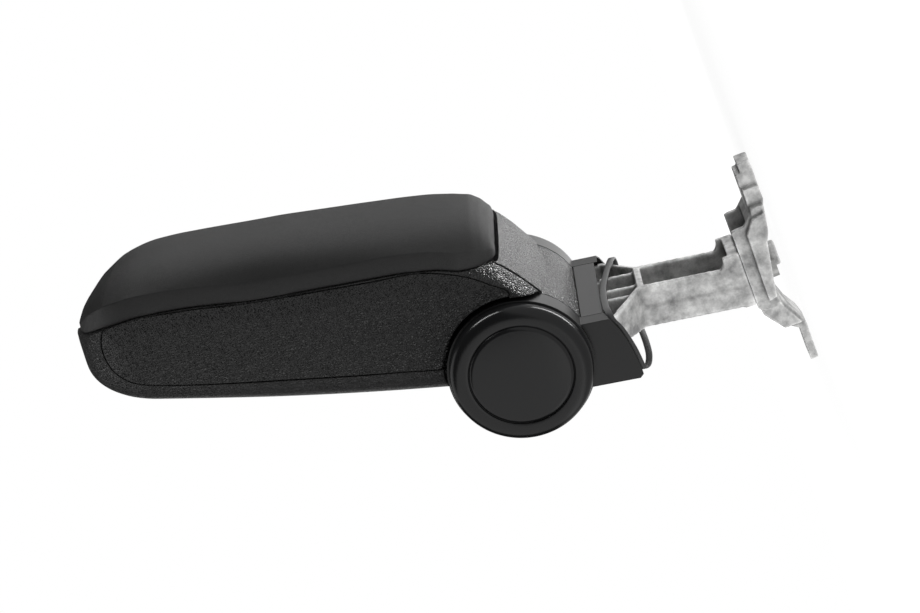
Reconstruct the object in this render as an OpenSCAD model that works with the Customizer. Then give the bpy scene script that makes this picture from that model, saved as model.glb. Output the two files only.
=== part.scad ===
// Car centre armrest: a padded storage arm on a hub hinge, carried by a cast post and foot.
// The arm is drawn lying flat (tip to +X, pad to +Z, hinge axis along Y through zero)
// and is then stood up on the foot by the module stowed().

/* [Placing] */
// Height of the hinge axis above the underside of the foot
hinge_h = 144.1; // [140:0.1:160]
// Distance of the hinge axis ahead of the rear fixing hole
hinge_x = 38; // [37:0.5:40]
// Backward lean of the stowed arm and of the post
lean = 9.2; // [5:0.1:14]

/* [Arm] */
// Half width of the body at its fullest
body_w = 49; // [45:0.5:54]
// Distance from the hinge axis to the tip of the body
tip_x = 226; // [220:1:240]
// Length of the rounded nose
nose_len = 40; // [34:1:48]
// Roundness of the nose seen from above, 2 is an ellipse
nose_pow = 2.4; // [2:0.1:3]
// Roundness of the lower corners of the body, 2 is an ellipse
belly_pow = 4.2; // [3:0.1:6]
// Height of the parting line of the lid above the hinge axis at mid length
split_h = 64.5; // [60:0.5:69]
// Depth of the underside below the hinge axis, taken at the axis
belly_drop = 14.9; // [12:0.1:17]
// Wall of the moulded shells
wall = 2.6; // [2:0.1:3.2]
// Thickness of the side panels
panel_t = 2; // [1.6:0.1:2.4]
// Width of the shadow gap round the side panels
panel_gap = 0.9; // [0.5:0.1:1.2]

/* [Lid] */
// Half width of the lid at its lower edge
lid_w = 46.4; // [43:0.1:48]
// Height of the pad crown above the parting line at mid length
pad_h = 22; // [18:0.5:26]
// Roundness of the pad seen from the end, 2 is an ellipse
pad_pow = 2.5; // [2.2:0.1:3.2]
// Thickness of the rigid lid base
base_t = 4; // [3:0.5:5]
// Distance of the lid hinge pin ahead of the main hinge axis
pin_x = 7; // [6.5:0.1:8]
// Depth of the lid hinge pin below the parting line at mid length
pin_drop = 4; // [3.6:0.1:4.4]
// Radius of the lid hinge pin
pin_r = 1.5; // [1.2:0.1:1.8]

/* [Hub] */
// Step from the barrel in to the rim of the hub caps
cap_step = 0.9; // [0.5:0.1:2]
// Half width over the hub caps
cap_out = 57; // [55.5:0.5:60]
// Width of the domed rim of the caps, outside the flat face
cap_band = 12.3; // [8:0.1:14]
// Height of the domed rim of the caps
cap_dome = 7; // [6:0.5:8]
// Radius of the barrel of the arm and of the bracket drums
barrel_r = 37.8; // [37.5:0.1:39]
// Depth from the face of the caps to the end of the barrel
hub_depth = 21.5; // [21:0.5:23]
// Radius of the hinge axle
axle_r = 5; // [4:0.5:6]
// Running clearance of the hinge axle, radial
run = 0.06; // [0.03:0.01:0.09]
// Gap between parts that move past each other
gap = 0.4; // [0.3:0.05:0.6]

/* [Bracket] */
// Half width of the post
post_w = 15; // [13:0.5:17]
// Height of the post rims above the hinge axis
post_top = 17.5; // [15:0.5:19]
// Depth of the post floor below the hinge axis
post_low = 5.4; // [4:0.1:8]
// Wall of the castings
cast_t = 2.6; // [2:0.1:3.4]
// Thickness of each hinge ear of the post
ear_t = 4.5; // [4:0.1:5]
// Height of the seat plane of the foot above its underside
seat_z = 21.2; // [18:0.1:24]
// Radius of the fixing holes in the foot
hole_r = 3.3; // [2.7:0.1:4]
// Thickness of the shroud moulding
shroud_t = 2.2; // [1.8:0.1:2.8]

/* [Button] */
// Half width of the lid release button
button_w = 11; // [9:0.5:14]
// Travel of the release button
button_travel = 2.5; // [1.5:0.1:3]

/* [Hidden] */
eps = 0.01;
pin_z = split_h - pin_drop;
cap_r = barrel_r - cap_step;
cap_rim = cap_out - cap_dome;
barrel_w = cap_out - hub_depth;
ear_in = barrel_w + 1.5;
ear_out = ear_in + ear_t;
nose_start = tip_x - nose_len;

// Frame of the stowed arm: leaning back on the post
module stowed() {
    translate([hinge_x, 0, hinge_h]) rotate([0, -90 - lean, 0]) children();
}

// Cylinder along Y from y0 to y1
module across(r, y0, y1, fn = 96) {
    translate([0, y1, 0]) rotate([90, 0, 0]) cylinder(r = r, h = y1 - y0, $fn = fn);
}

// Outline in X and Z, given its thickness along Y from y0 to y1
module slab(points, y0, y1) {
    translate([0, y1, 0]) rotate([90, 0, 0]) linear_extrude(y1 - y0) polygon(points);
}

// Closed skin over a list of rings that all have the same number of points
module skin(rings) {
    n = len(rings[0]);
    m = len(rings);
    polyhedron(
        points = [for (ring = rings) for (p = ring) p],
        faces = concat(
            [[for (i = [0:n - 1]) i]],
            [for (j = [0:m - 2]) for (i = [0:n - 1])
                [j * n + i, (j + 1) * n + i, (j + 1) * n + (i + 1) % n]],
            [for (j = [0:m - 2]) for (i = [0:n - 1])
                [j * n + i, (j + 1) * n + (i + 1) % n, j * n + (i + 1) % n]],
            [[for (i = [n - 1:-1:0]) (m - 1) * n + i]]
        ),
        convexity = 6
    );
}

// Body outline as functions of the distance x from the hinge axis towards the tip
function split_z(x) = split_h + lookup(x, [
    [-18, -29.5], [-8, -16.5], [1, -7.6], [18, -7.6], [30, -3.9], [48, -1.8], [125, 0],
    [154, 3.2], [170, 4], [186, 3.8], [204, 0.3], [218, -5], [228, -8.5]
]);
function belly_z(x) = 0.11 * x + 0.00031 * x * x - belly_drop;
function top_inset(x) = lookup(x, [[-18, 13], [-8, 11.5], [0, 8.5], [8, 5], [18, 2.4], [32, 2.2]]);
function nose(x, from, to, power) =
    x <= from ? 1 : pow(max(0, 1 - pow((x - from) / (to - from), power)), 1 / power);

// One half turn of a superellipse: sine and cosine bent by a power
function bent(v, power) = sign(v) * pow(abs(v), 2 / power);

// Section of the lower body: down one wall, under the belly and up the other wall
function tub_ring(x, inset, lift) =
    let(
        s = nose(x, nose_start, tip_x - inset, nose_pow),
        w = max(0.4, (body_w - inset) * s),
        w_top = max(0.3, (body_w - inset - top_inset(x)) * s),
        top = split_z(x) + lift,
        mid = belly_z(x) + (split_z(x) - belly_z(x)) * 0.59,
        h = (mid - belly_z(x) - inset) * s
    )
    concat(
        [[x, -w_top, top], [x, -w * 0.985, mid + (top - mid) * 0.6]],
        [for (a = [180:-20:0]) [x, w * bent(cos(a), belly_pow), mid - h * bent(sin(a), belly_pow)]],
        [[x, w * 0.985, mid + (top - mid) * 0.6], [x, w_top, top]]
    );

// Stations along the body, closer together on the rounded nose
function stations(x0, x1) = concat(
    [for (x = [x0, -8, 0, 8, 18, 30, 48, 125, 154, 170]) if (x >= x0) x],
    [for (k = [0:6]) nose_start + (x1 - nose_start) * sin(k * 90 / 6.2)]
);

// Solid of the lower body, shrunk by inset, from the station x0 to the nose
module tub_solid(inset, x0, lift = 0) {
    skin([for (x = stations(x0, tip_x - inset)) tub_ring(x, inset, lift)]);
}

// Outline of a side panel in X and Z, grown by g: along the belly, round the nose,
// back under the parting line and round the hub
function panel_outline(g) = concat(
    [for (p = [[60, 18.7], [82, 18.3], [116, 17.8], [150, 16.4], [178, 15.7]])
        [p[0], belly_z(p[0]) + p[1] - g]],
    [
        [tip_x - 33 + g * 0.4, 34.4 - g * 0.9], [tip_x - 24.2 + g * 0.7, 40.7 - g * 0.7],
        [tip_x - 20.4 + g, 48.2], [tip_x - 20.1 + g, split_h - 8.7],
        [tip_x - 22.2 + g, split_h - 1.7 + g * 0.3], [tip_x - 25.6 + g * 0.7, split_h + 0.8 + g * 0.7],
        [tip_x - 35.5, split_h + 3.6 + g], [178.4, split_h + 3.5 + g], [153.8, split_h + 2.2 + g],
        [124.9, split_h - 0.5 + g], [70, split_h - 2.5 + g], [48.6, split_h - 2.7 + g],
        [39, split_h - 3.5 + g], [29.6, split_h - 5.6 + g], [17.8, split_h - 9.9 + g],
        [7.7, split_h - 15.5 + g], [-2 - g, 41.5], [20, 36], [37, 8.5 - g]
    ]
);

// Prism of a side panel on one side, clear of the hub
module panel_prism(side, g) {
    difference() {
        mirror([0, side < 0 ? 1 : 0, 0]) slab(panel_outline(g), body_w * 0.6, body_w + 5);
        across(barrel_r + 2.6 - g, -body_w - 6, body_w + 6);
    }
}

// Shape of the lid: straight sides, rounded rear corners and a rounded nose
function lid_half_w(x, inset) =
    let(rear = lookup(x, [[1, 31], [2.5, 36.5], [6, 41], [11, 44.2], [20, lid_w]]))
    (min(rear, lid_w) - inset) * nose(x, nose_start - 6, tip_x - 1.5 - inset, nose_pow);
function crown_z(x) = split_h + pad_h + lookup(x, [
    [1, -25], [2.5, -20], [6, -15], [11, -11.5], [20, -9.5], [33, -7.4], [70, -4], [112, -0.8],
    [144, -0.2], [172, 0], [190, -1.8], [202, -5.6], [212, -11.5], [220, -19], [225, -27.5]
]);
function lid_ring(x, inset, low, high) =
    let(
        w = max(0.4, lid_half_w(x, inset)),
        z0 = split_z(max(x, 1)) + low,
        h = max(0.6, (high > 0 ? high : crown_z(x) - split_z(max(x, 1)) - inset) - low),
        power = high > 0 ? 8 : pad_pow
    )
    [for (a = [0:15:180]) [x, w * bent(cos(a), power), z0 + h * bent(sin(a), power)]];
function lid_stations(x0, x1) = concat(
    [for (x = [x0, 2.5, 6, 11, 20, 30, 48, 80, 125, 154, 170]) if (x >= x0 && x < x1) x],
    [for (k = [0:8]) 184 + (x1 - 184) * sin(k * 90 / 8.2)]
);
module lid_solid(inset, x0, low, high = 0) {
    skin([for (x = lid_stations(x0, tip_x - 1.7 - inset)) lid_ring(x, inset, low, high)]);
}

// Post and yoke outlines seen along Z, from the hub back to the post
yoke_x = -50.5;
post_x = -67.5;
tongue_z = post_top - 1.2;
yoke_plan = [
    [-20, -ear_out], [yoke_x, -ear_out], [post_x, -post_w], [post_x, post_w],
    [yoke_x, ear_out], [-20, ear_out]
];
yoke_section = [
    [-ear_out, -2], [-post_w, -post_low], [post_w, -post_low], [ear_out, -2],
    [ear_out, post_top - 4.5], [post_w, post_top], [-post_w, post_top], [-ear_out, post_top - 4.5]
];
rib_y = [-11.5, 6.7];
side_rib_y = 18.7;
rib_top = tongue_z - 0.6;
seat_front = 63.2;
seat_back = 20.5;
flange_back = 32.5;
flange_t = 5.8;
flange_w = post_w + 0.3;
tab_end = 107;
tab_t = 4.2;
front_hole_x = 98;
screw_x = 50;
screw_y = 8;
screw_r = 3;
core_r = 9;
core_screw_y = 14;
web_t = 2;
drum_out = cap_rim - 0.4;
web_y = ear_out;

module ear(side) {
    mirror([0, side < 0 ? 1 : 0, 0]) {
        difference() {
            union() {
                across(24, ear_in, ear_out);
                slab([
                    [-6, 22], [-30, 14.5], [-46, 13], [-52, 12], [-52, -2], [-46, -6], [-30, -15], [-6, -22]
                ], ear_in, ear_out);
            }
            across(axle_r + run, ear_in - 1, ear_out + 1);
        }
    }
}

// Box of the yoke between the ears: flared walls, a floor and two ribs
module yoke() {
    inner_ear = ear_in + 0.6;
    difference() {
        intersection() {
            translate([0, 0, -30]) linear_extrude(60) polygon(yoke_plan);
            rotate([90, 0, 90]) translate([0, 0, -90]) linear_extrude(90) polygon(yoke_section);
        }
        translate([0, 0, cast_t - post_low]) linear_extrude(60) polygon([
            [-20, -inner_ear], [yoke_x + 1, -inner_ear], [post_x + 1.5, -post_w + 1.6],
            [post_x + 1.5, post_w - 1.6], [yoke_x + 1, inner_ear], [-20, inner_ear]
        ]);
        across(barrel_r + gap, -ear_in, ear_in);
        translate([-47.6, -60, tongue_z - shroud_t]) cube([40, 120, 20]);
        translate([-40, -ear_in, -30]) cube([40, 2 * ear_in, 60]);
    }
    for (y = rib_y) {
        translate([post_x + 1, y - 1.1, cast_t - post_low - 0.5])
            cube([-post_x - 47.6 - 1, 2.2, rib_top + post_low - cast_t + 0.5]);
        translate([-48, y - 1.1, cast_t - post_low - 0.5])
            cube([8, 2.2, tongue_z - shroud_t + post_low - cast_t + 0.5]);
    }
    translate([post_x + 3, side_rib_y - 1.1, cast_t - post_low - 0.5])
        cube([-post_x - 47.6 - 3, 2.2, rib_top + post_low - cast_t + 0.5]);
}

// Open channel of the post with a bulkhead at the yoke and a parting ledge on its walls
module channel() {
    far = -hinge_h;
    difference() {
        union() {
            translate([far, -post_w, -post_low]) cube([post_x - far, 2 * post_w, post_top + post_low]);
            translate([far, -post_w - 0.6, -post_low]) cube([post_x - far, 2 * post_w + 1.2, 10.4]);
        }
        translate([far - 1, -post_w + cast_t, cast_t - post_low])
            cube([post_x - 2.2 - far + 1, 2 * (post_w - cast_t), 60]);
    }
}

module post_casting() color("silver") {
    difference() {
        union() {
            stowed() {
                ear(1);
                ear(-1);
                yoke();
                channel();
            }
            translate([flange_back, -flange_w, seat_z])
                cube([seat_front - flange_back, 2 * flange_w, flange_t]);
            for (side = [0, 1]) mirror([0, side, 0])
                slab([
                    [flange_back, seat_z + flange_t - 1],
                    for (a = [0:15:90]) [flange_back + 7 * sin(a), seat_z + flange_t + 3 + 6 * (1 - cos(a))],
                    [flange_back + 14, seat_z + flange_t + 9], [flange_back + 14, seat_z + flange_t - 1]
                ], post_w - cast_t - 0.3, flange_w);
        }
        translate([-200, -100, seat_z - 200]) cube([400, 200, 200]);
        translate([-200, -100, seat_z - eps]) cube([200 + flange_back - 6, 200, 20]);
        for (side = [-1, 1]) translate([screw_x, side * screw_y, seat_z - 1])
            cylinder(r = screw_r + 0.05, h = flange_t + 2, $fn = 48);
    }
}

// Foot: a channel seat under the post, a stepped rear arm and a cranked front arm
module foot_casting() color("lightgray") {
    difference() {
        union() {
            // Rear arm, stepped towards its end
            slab([
                [-10.5, 0], [-10.5, 6.6], [-5.4, 6.6], [-5.4, 9.4],
                [16, 9.4], [20, 14], [24, 14], [24, 3], [16, 1.7], [11.5, 0]
            ], -7.5, 7.5);
            // Side fins that step along the rear arm
            for (side = [0, 1]) mirror([0, side, 0]) {
                slab([
                    [3, 0], [3, 8.6], [10, 8.6], [16, 9.4], [24, 9.4], [24, 3], [16, 1.6], [11, 0]
                ], 7.4, 11);
                slab([[12, 0.9], [12, 8.2], [20, 9.2], [24, 9.2], [24, 3]], 10.9, 16);
            }
            // Middle, under the seat
            slab([
                [15, 1.6], [26, 3.3], [31.4, 5.5], [50.7, 8.5], [61.8, 10.1], [66, 9],
                [68.5, 12], [68.5, 18.4], [66, seat_z], [seat_back, seat_z], [seat_back - 0.5, 14], [15, 9.4]
            ], -post_w, post_w);
            slab([
                [15, 1.6], [26, 3.3], [31.4, 5.5], [50.7, 8.5], [61.8, 10.1],
                [63, 14.6], [24, 14.2], [17, 9.4]
            ], -post_w - 3.2, post_w + 3.2);
            // Front arm, cranked down to its tab
            slab([
                [60, 10], [72.4, 6.1], [79.6, 1.9], [86, 0], [tab_end, 0], [tab_end, tab_t], [87.6, tab_t],
                [83.7, 9.8], [72.2, 18], [66, seat_z], [58, seat_z]
            ], -8, 8);
            // Rib along the front arm
            slab([[60, 12], [72.4, 8], [84, 2], [84, 11.6], [73, 19.6], [64, 20.9]], -9.6, -7.9);
            slab([[60, 12], [72.4, 8], [84, 2], [84, 11.6], [73, 19.6], [64, 20.9]], 7.9, 9.6);
            // Locating boss below
            slab([[39, 2], [45.4, 2], [45.4, 2.9], [46.5, 2], [51.5, 1.9], [51.5, 9], [39, 8]], -3, 3);
        }
        // Channel of the seat, open at the top and to the rear
        translate([0, -post_w + cast_t, 12]) cube([seat_front - 3, 2 * (post_w - cast_t), 30]);
        translate([seat_front, -post_w - 1, seat_z - eps]) cube([20, 2 * post_w + 2, 5]);
        for (x = [0, front_hole_x]) translate([x, 0, -1]) cylinder(r = hole_r, h = 14, $fn = 64);
        for (side = [-1, 1]) translate([screw_x, side * screw_y, 0]) {
            cylinder(r = screw_r + 0.3, h = 30, $fn = 48);
            cylinder(r = 5, h = 8.6, $fn = 48);
        }
    }
    // Screw pillars inside the seat
    for (side = [-1, 1]) translate([screw_x, side * screw_y, 11.9]) difference() {
        cylinder(r = 4.3, h = seat_z - 11.9, $fn = 48);
        translate([0, 0, -1]) cylinder(r = screw_r + 0.3, h = 30, $fn = 48);
    }
}

module joint_screws() color("dimgray") {
    for (side = [-1, 1]) translate([screw_x, side * screw_y, 0]) difference() {
        union() {
            translate([0, 0, 4.8]) cylinder(r = 4.6, h = 3.8, $fn = 48);
            cylinder(r = screw_r, h = seat_z + flange_t - 0.5, $fn = 48);
        }
        cylinder(r = 2.4, h = 7, $fn = 6);
        translate([0, 0, -1]) cylinder(r = 6, h = 5.8, $fn = 48);
    }
}

// Cheek of the shroud in X and Z, back from the drum to its sloping rear edge
cheek = [
    [-30, 16.3], [-48.2, 16.3], [-49.9, 14.8], [-53, 9.3], [-55.4, 3.6], [-57.4, -3], [-59.2, -10],
    [-60.4, -17.3], [-58.5, -19.2], [-30, -18.9]
];
cheek_in = cap_rim - 6.6;
cheek_out = cap_rim - 4.2;
strip_in = barrel_w + 0.7;

// Half of the shroud: drum round the ear, cheek, and the strips that turn in from it
module shroud_half() {
    difference() {
        union() {
            difference() {
                across(barrel_r, barrel_w + 0.8, drum_out, 128);
                across(barrel_r - 2.4, barrel_w, drum_out + 1, 128);
            }
            difference() {
                across(barrel_r - 1, web_y, web_y + web_t, 128);
                across(14, web_y - 1, web_y + web_t + 1);
            }
            difference() {
                slab(cheek, cheek_in, cheek_out);
                across(barrel_r - 1.2, cheek_in - 1, cheek_out + 1, 128);
            }
            difference() {
                union() {
                    translate([-48.2, strip_in, tongue_z - shroud_t])
                        cube([20, cheek_in + 0.2 - strip_in, shroud_t]);
                    translate([-58.5, ear_out + 0.4, -19.1]) cube([28, cheek_in + 0.2 - ear_out - 0.4, 2]);
                }
                across(barrel_r - 0.6, strip_in - 1, cheek_in + 1, 128);
            }
        }
        // Way for the ear, which leaves the drum towards the yoke
        translate([-60, strip_in - 2, -17])
            cube([60 - 28, web_y + eps - strip_in + 2, 17 + tongue_z - shroud_t]);
    }
}

module shroud_left() color("#202122") { stowed() shroud_half(); }
module shroud_right() color("#202122") { stowed() mirror([0, 1, 0]) shroud_half(); }

// Middle panel of the shroud, hollowed in front to clear the barrel
module shroud_tongue() color("#2a2b2c") stowed() difference() {
    union() {
        translate([-46.2, -strip_in + 0.3, tongue_z - shroud_t]) cube([20, 2 * strip_in - 0.6, shroud_t]);
        for (y = [-26, 26 - 4]) translate([-46.2, y, tongue_z - 7]) cube([2, 4, 6]);
    }
    across(barrel_r + gap + 0.2, -60, 60, 128);
    translate([-40, -60, -60]) cube([80, 120, 60 + tongue_z - 6]);
}

// Thin bowed band round the open end of the shroud, as points in X, Y and Z
frame_y = cheek_in - 0.95;
frame_path = [
    [-50.4, frame_y, 14.4], [-49.4, 38, 17.4], [-48.4, 28, 17.6], [-48.6, 8, 17.4], [-51.6, -12, 17.4],
    [-55.4, -32, 17], [-57, -frame_y + 2, 14], [-58, -frame_y, 6], [-59.4, -frame_y, -4],
    [-60.6, -frame_y, -13.6], [-61.8, -36, -15.6], [-63.2, -20, -15.8], [-64.4, -4, -15.8],
    [-65.2, 12, -16], [-65.2, 26, -16.2], [-63.8, 36, -16.6], [-61.4, frame_y - 1, -16],
    [-60.3, frame_y, -13.6], [-57.8, frame_y, -3], [-53.6, frame_y, 8.4]
];
frame_w = 2.6;
frame_t = 1.3;
module shroud_frame() color("#3a3b3c") stowed() {
    n = len(frame_path);
    corners = [for (i = [0:n - 1])
        let(
            ahead = frame_path[(i + 1) % n] - frame_path[(i + n - 1) % n],
            side = cross([1, 0, 0], ahead) / norm(cross([1, 0, 0], ahead)),
            p = frame_path[i]
        )
        [
            p + [frame_w / 2, 0, 0] + side * frame_t / 2, p + [-frame_w / 2, 0, 0] + side * frame_t / 2,
            p + [-frame_w / 2, 0, 0] - side * frame_t / 2, p + [frame_w / 2, 0, 0] - side * frame_t / 2
        ]
    ];
    polyhedron(
        points = [for (ring = corners) for (p = ring) p],
        faces = [for (i = [0:n - 1]) for (k = [0:3]) for (half = [0, 1])
            let(
                a = i * 4 + k,
                b = i * 4 + (k + 1) % 4,
                c = ((i + 1) % n) * 4 + (k + 1) % 4,
                d = ((i + 1) % n) * 4 + k
            )
            half == 0 ? [a, b, c] : [a, c, d]],
        convexity = 6
    );
}

// Hub cap: domed rim, ring groove, flat face and a skirt that fits the drum
module hub_cap() {
    face_r = cap_r - cap_band;
    rotate([-90, 0, 0]) rotate_extrude($fn = 144) polygon([
        [0, cap_out - 0.3], [face_r - 1.2, cap_out - 0.3], [face_r - 0.6, cap_out - 1], [face_r, cap_out - 1],
        for (a = [90:-10:0]) [
            face_r + 0.5 + (cap_r - face_r - 0.5) * pow(cos(a), 0.8),
            cap_rim + cap_dome * pow(sin(a), 0.8)
        ],
        [cap_r - 0.4, drum_out], [barrel_r - 2.6, drum_out], [barrel_r - 2.6, web_y + web_t],
        [barrel_r - 4.4, web_y + web_t], [barrel_r - 4.4, cap_rim + 0.5],
        [face_r, cap_out - 3], [0, cap_out - 2.3]
    ]);
}
module hub_cap_left() color("#1c1d1e") { stowed() hub_cap(); }
module hub_cap_right() color("#1c1d1e") { stowed() mirror([0, 1, 0]) hub_cap(); }

// Hinge axle: a bolt through both ears and the core of the barrel
washer_t = 1.5;
wave_t = 1;
axle_end = ear_out + 8.5;
module hinge_axle() color("gray") stowed() difference() {
    union() {
        across(axle_r, -ear_out - 1, axle_end);
        translate([0, -ear_out, 0]) rotate([90, 0, 0]) cylinder(r = 9.2, h = 4.5, $fn = 6);
    }
    across(1.6, axle_end - 5, axle_end + 1, 32);
}
module axle_nut() color("gray") stowed() difference() {
    translate([0, ear_out + wave_t + 5.5, 0]) rotate([90, 0, 0]) cylinder(r = 9.2, h = 5.5, $fn = 6);
    across(axle_r + run, ear_out, axle_end);
}
module wave_washers() color("darkgray") stowed() difference() {
    across(9.5, ear_out, ear_out + wave_t);
    across(axle_r + run, ear_out - 1, ear_out + 2);
}
module friction_washers() color("tan") stowed() for (side = [0, 1]) mirror([0, side, 0]) difference() {
    across(16, barrel_w + 0.02, ear_in);
    across(axle_r + run, barrel_w, ear_in + 1);
}

// Neck of the shell from the rear edge of the lid down to the barrel, in X and Z
neck = [
    [1.6, split_h - 5.4], [0.8, split_h - 4.7], [-27.5, 23.2], [-20, 10], [30, 10], [46, 20],
    [46, split_h - 6.4], [18, split_h - 7.7],
    [1.6, split_h - 7.7]
];
cavity_x = 47;
shell_back = -18;
cavity_in = wall + panel_t;
rib_x = tip_x - 19;
rib_top_z = split_h - 8;
slot_low = split_h - 15.5;
pin_ear_y = 14.4;
pin_ear_t = 4;
knuckle_w = 24;
pin_hub_r = pin_r + 2;
stop_r = 2.6;
stop_y = 13;

// Lower shell: tub, neck and barrel moulded as one
module lower_shell() color("#1d1d1e") stowed() {
    difference() {
        union() {
            difference() {
                tub_solid(0, shell_back);
                tub_solid(cavity_in, cavity_x, 3);
                across(barrel_r + gap + 1.4, barrel_w, body_w + 9, 128);
                across(barrel_r + gap + 1.4, -body_w - 9, -barrel_w, 128);
                for (side = [-1, 1]) difference() {
                    panel_prism(side, panel_gap);
                    tub_solid(panel_t, -9, 6);
                }
            }
            slab(neck, -barrel_w, barrel_w);
            across(barrel_r, -barrel_w, barrel_w, 128);
            // Wall that carries the release spring, with pillars for the bump stops
            translate([rib_x - 2, -16, 28]) cube([2, 32, rib_top_z - 28]);
            for (y = [-stop_y, stop_y]) translate([rib_x - 1, y, 28])
                cylinder(r = 3.2, h = rib_top_z - 28, $fn = 32);
        }
        // Hollow of the barrel and the way for the core
        across(barrel_r - wall, -barrel_w + 2.5, barrel_w - 2.5, 128);
        across(core_r + 0.05, -barrel_w - 1, barrel_w + 1);
        // Hollow behind the compartment
        difference() {
            slab([
                [8, barrel_r], [8, split_h - 15.5], [20, split_h - 12.5], [cavity_x + 1, split_h - 8],
                [cavity_x + 1, -4.6], [barrel_r - 3.8, -4.6]
            ], -barrel_w + 2.5, barrel_w - 2.5);
            across(barrel_r, -body_w, body_w, 128);
        }
        // Groove that the rear edge of the lid turns in
        translate([pin_x, 0, pin_z]) across(8.4, -42, 42, 64);
        // Screw holes into the core
        for (y = [-core_screw_y, core_screw_y]) translate([barrel_r - 8, y, 0])
            rotate([0, 90, 0]) cylinder(r = 2.5, h = 9, $fn = 32);
        // Slot for the release button
        translate([tip_x - 8, -button_w - 0.3, slot_low]) cube([20, 2 * button_w + 0.6, 40]);
    }
    // Ears for the lid hinge pin, leaning forward so that the lid can turn past them
    for (side = [0, 1]) mirror([0, side, 0]) difference() {
        union() {
            translate([pin_x, 0, pin_z]) across(pin_hub_r, pin_ear_y, pin_ear_y + pin_ear_t, 48);
            slab([
                [pin_x - 1.6, pin_z - 3.1], [pin_x + 2.6, pin_z + 2.3], [pin_x + 12, pin_z - 5.5],
                [pin_x + 12, pin_z - 11], [pin_x + 6.5, pin_z - 11]
            ], pin_ear_y, pin_ear_y + pin_ear_t);
        }
        translate([pin_x, 0, pin_z]) across(pin_r + run, 0, body_w, 48);
    }
}

// Metal core that the arm turns on: tube, web and the bar that the shell is screwed to
module hinge_core() color("silver") stowed() {
    difference() {
        union() {
            across(core_r, -barrel_w, barrel_w);
            slab([[0, -4], [0, 4], [barrel_r - wall - 0.6, 4], [barrel_r - wall - 0.6, -4]], -24, 24);
        }
        across(axle_r + run, -body_w, body_w);
        for (y = [-core_screw_y, core_screw_y]) translate([barrel_r - 18, y, 0])
            rotate([0, 90, 0]) cylinder(r = 2.05, h = 30, $fn = 32);
    }
}
module core_screws() color("dimgray") stowed() for (y = [-core_screw_y, core_screw_y])
    translate([barrel_r, y, 0]) rotate([0, 90, 0]) difference() {
    union() {
        translate([0, 0, -14]) cylinder(r = 2, h = 14.1, $fn = 32);
        translate([0, 0, 0.05]) cylinder(r = 4, h = 2.6, $fn = 32);
    }
    translate([0, 0, 1.2]) cylinder(r = 2, h = 3, $fn = 6);
}

// Side panels let into the recesses of the shell, flush with it
module side_panel(side) {
    difference() {
        intersection() {
            tub_solid(0, shell_back);
            panel_prism(side, 0);
        }
        tub_solid(panel_t, -9, 6);
    }
}
module side_panel_left() color("#1d1d1e") stowed() side_panel(1);
module side_panel_right() color("#1d1d1e") stowed() side_panel(-1);

// Tray that lines the compartment
liner_t = 1.6;
liner_gap = 0.35;
liner_front = rib_x - 2.4 - 3.2;
module storage_liner() color("#2b2b2c") stowed() difference() {
    intersection() {
        tub_solid(cavity_in + liner_gap, cavity_x + 0.4, -1.2);
        translate([0, -100, -100]) cube([liner_front, 200, 300]);
    }
    intersection() {
        tub_solid(cavity_in + liner_gap + liner_t, cavity_x + 0.4 + liner_t, 4);
        translate([0, -100, -100]) cube([liner_front - liner_t, 200, 300]);
    }
}

// Rubber stops that the closed lid rests on
module bump_stops() color("#111111") stowed() for (y = [-stop_y, stop_y])
    translate([rib_x - 1, y, rib_top_z])
        cylinder(r = stop_r, h = split_z(rib_x - 1 + stop_r) + 0.2 - rib_top_z, $fn = 48);

module lid_hinge_pin() color("silver") stowed()
    translate([pin_x, 0, pin_z]) across(pin_r, -knuckle_w, knuckle_w, 48);

// Space that the ears and the knuckles of the lid hinge need inside the lid
module hinge_room(clear) {
    deep = pin_z - 20;
    translate([pin_x, 0, pin_z]) across(pin_hub_r + clear, -knuckle_w - 0.4, knuckle_w + 0.4, 48);
    for (side = [0, 1]) mirror([0, side, 0])
        translate([2.2, pin_ear_y - 0.4, 40])
            cube([pin_x + 12.8, pin_ear_t + 0.8, pin_z + pin_hub_r + 0.4 - 40]);
    for (y = [-pin_ear_y - pin_ear_t - 0.4, pin_ear_y - 0.4])
        translate([0.5, y, deep]) cube([5, pin_ear_t + 0.8, pin_z - 1.1 - deep]);
}

// One knuckle of the lid hinge with the web that ties it to the base
module knuckle(y0, y1) {
    translate([pin_x, 0, pin_z]) across(pin_hub_r, y0, y1, 48);
    slab([
        [pin_x, pin_z - pin_hub_r + 0.4], [pin_x, pin_z + pin_hub_r],
        [pin_x + 9, pin_z + 1.5], [pin_x + 9, pin_z - 2.6]
    ], y0, y1);
}

// Rigid base of the lid with its knuckles
module lid_base() color("#232324") stowed() difference() {
    union() {
        difference() {
            lid_solid(3.4, 4.2, 0.5, base_t + 0.5);
            hinge_room(0.4);
            translate([0, -knuckle_w - 0.4, pin_z - 20]) cube([pin_x, 2 * knuckle_w + 0.8, 30]);
        }
        for (side = [0, 1]) mirror([0, side, 0]) {
            knuckle(9.2, pin_ear_y - 0.4);
            knuckle(pin_ear_y + pin_ear_t + 0.4, knuckle_w);
        }
    }
    translate([pin_x, 0, pin_z]) across(pin_r + run, -body_w, body_w, 48);
}

// Padded cover of the lid, drawn as one closed soft body over the base
module lid_pad() color("#161617") stowed() difference() {
    lid_solid(0, 1.2, 0.4);
    lid_solid(2.7, 3.6, -2, base_t + 1.2);
    hinge_room(0.7);
    slab([
        [pin_x - 3.4, pin_z], [pin_x, pin_z + pin_hub_r + 0.6], [pin_x + 10, pin_z + 2.6],
        [pin_x + 10, pin_z - 20], [pin_x - 3.4, pin_z - 20]
    ], -knuckle_w - 0.4, knuckle_w + 0.4);
}

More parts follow.
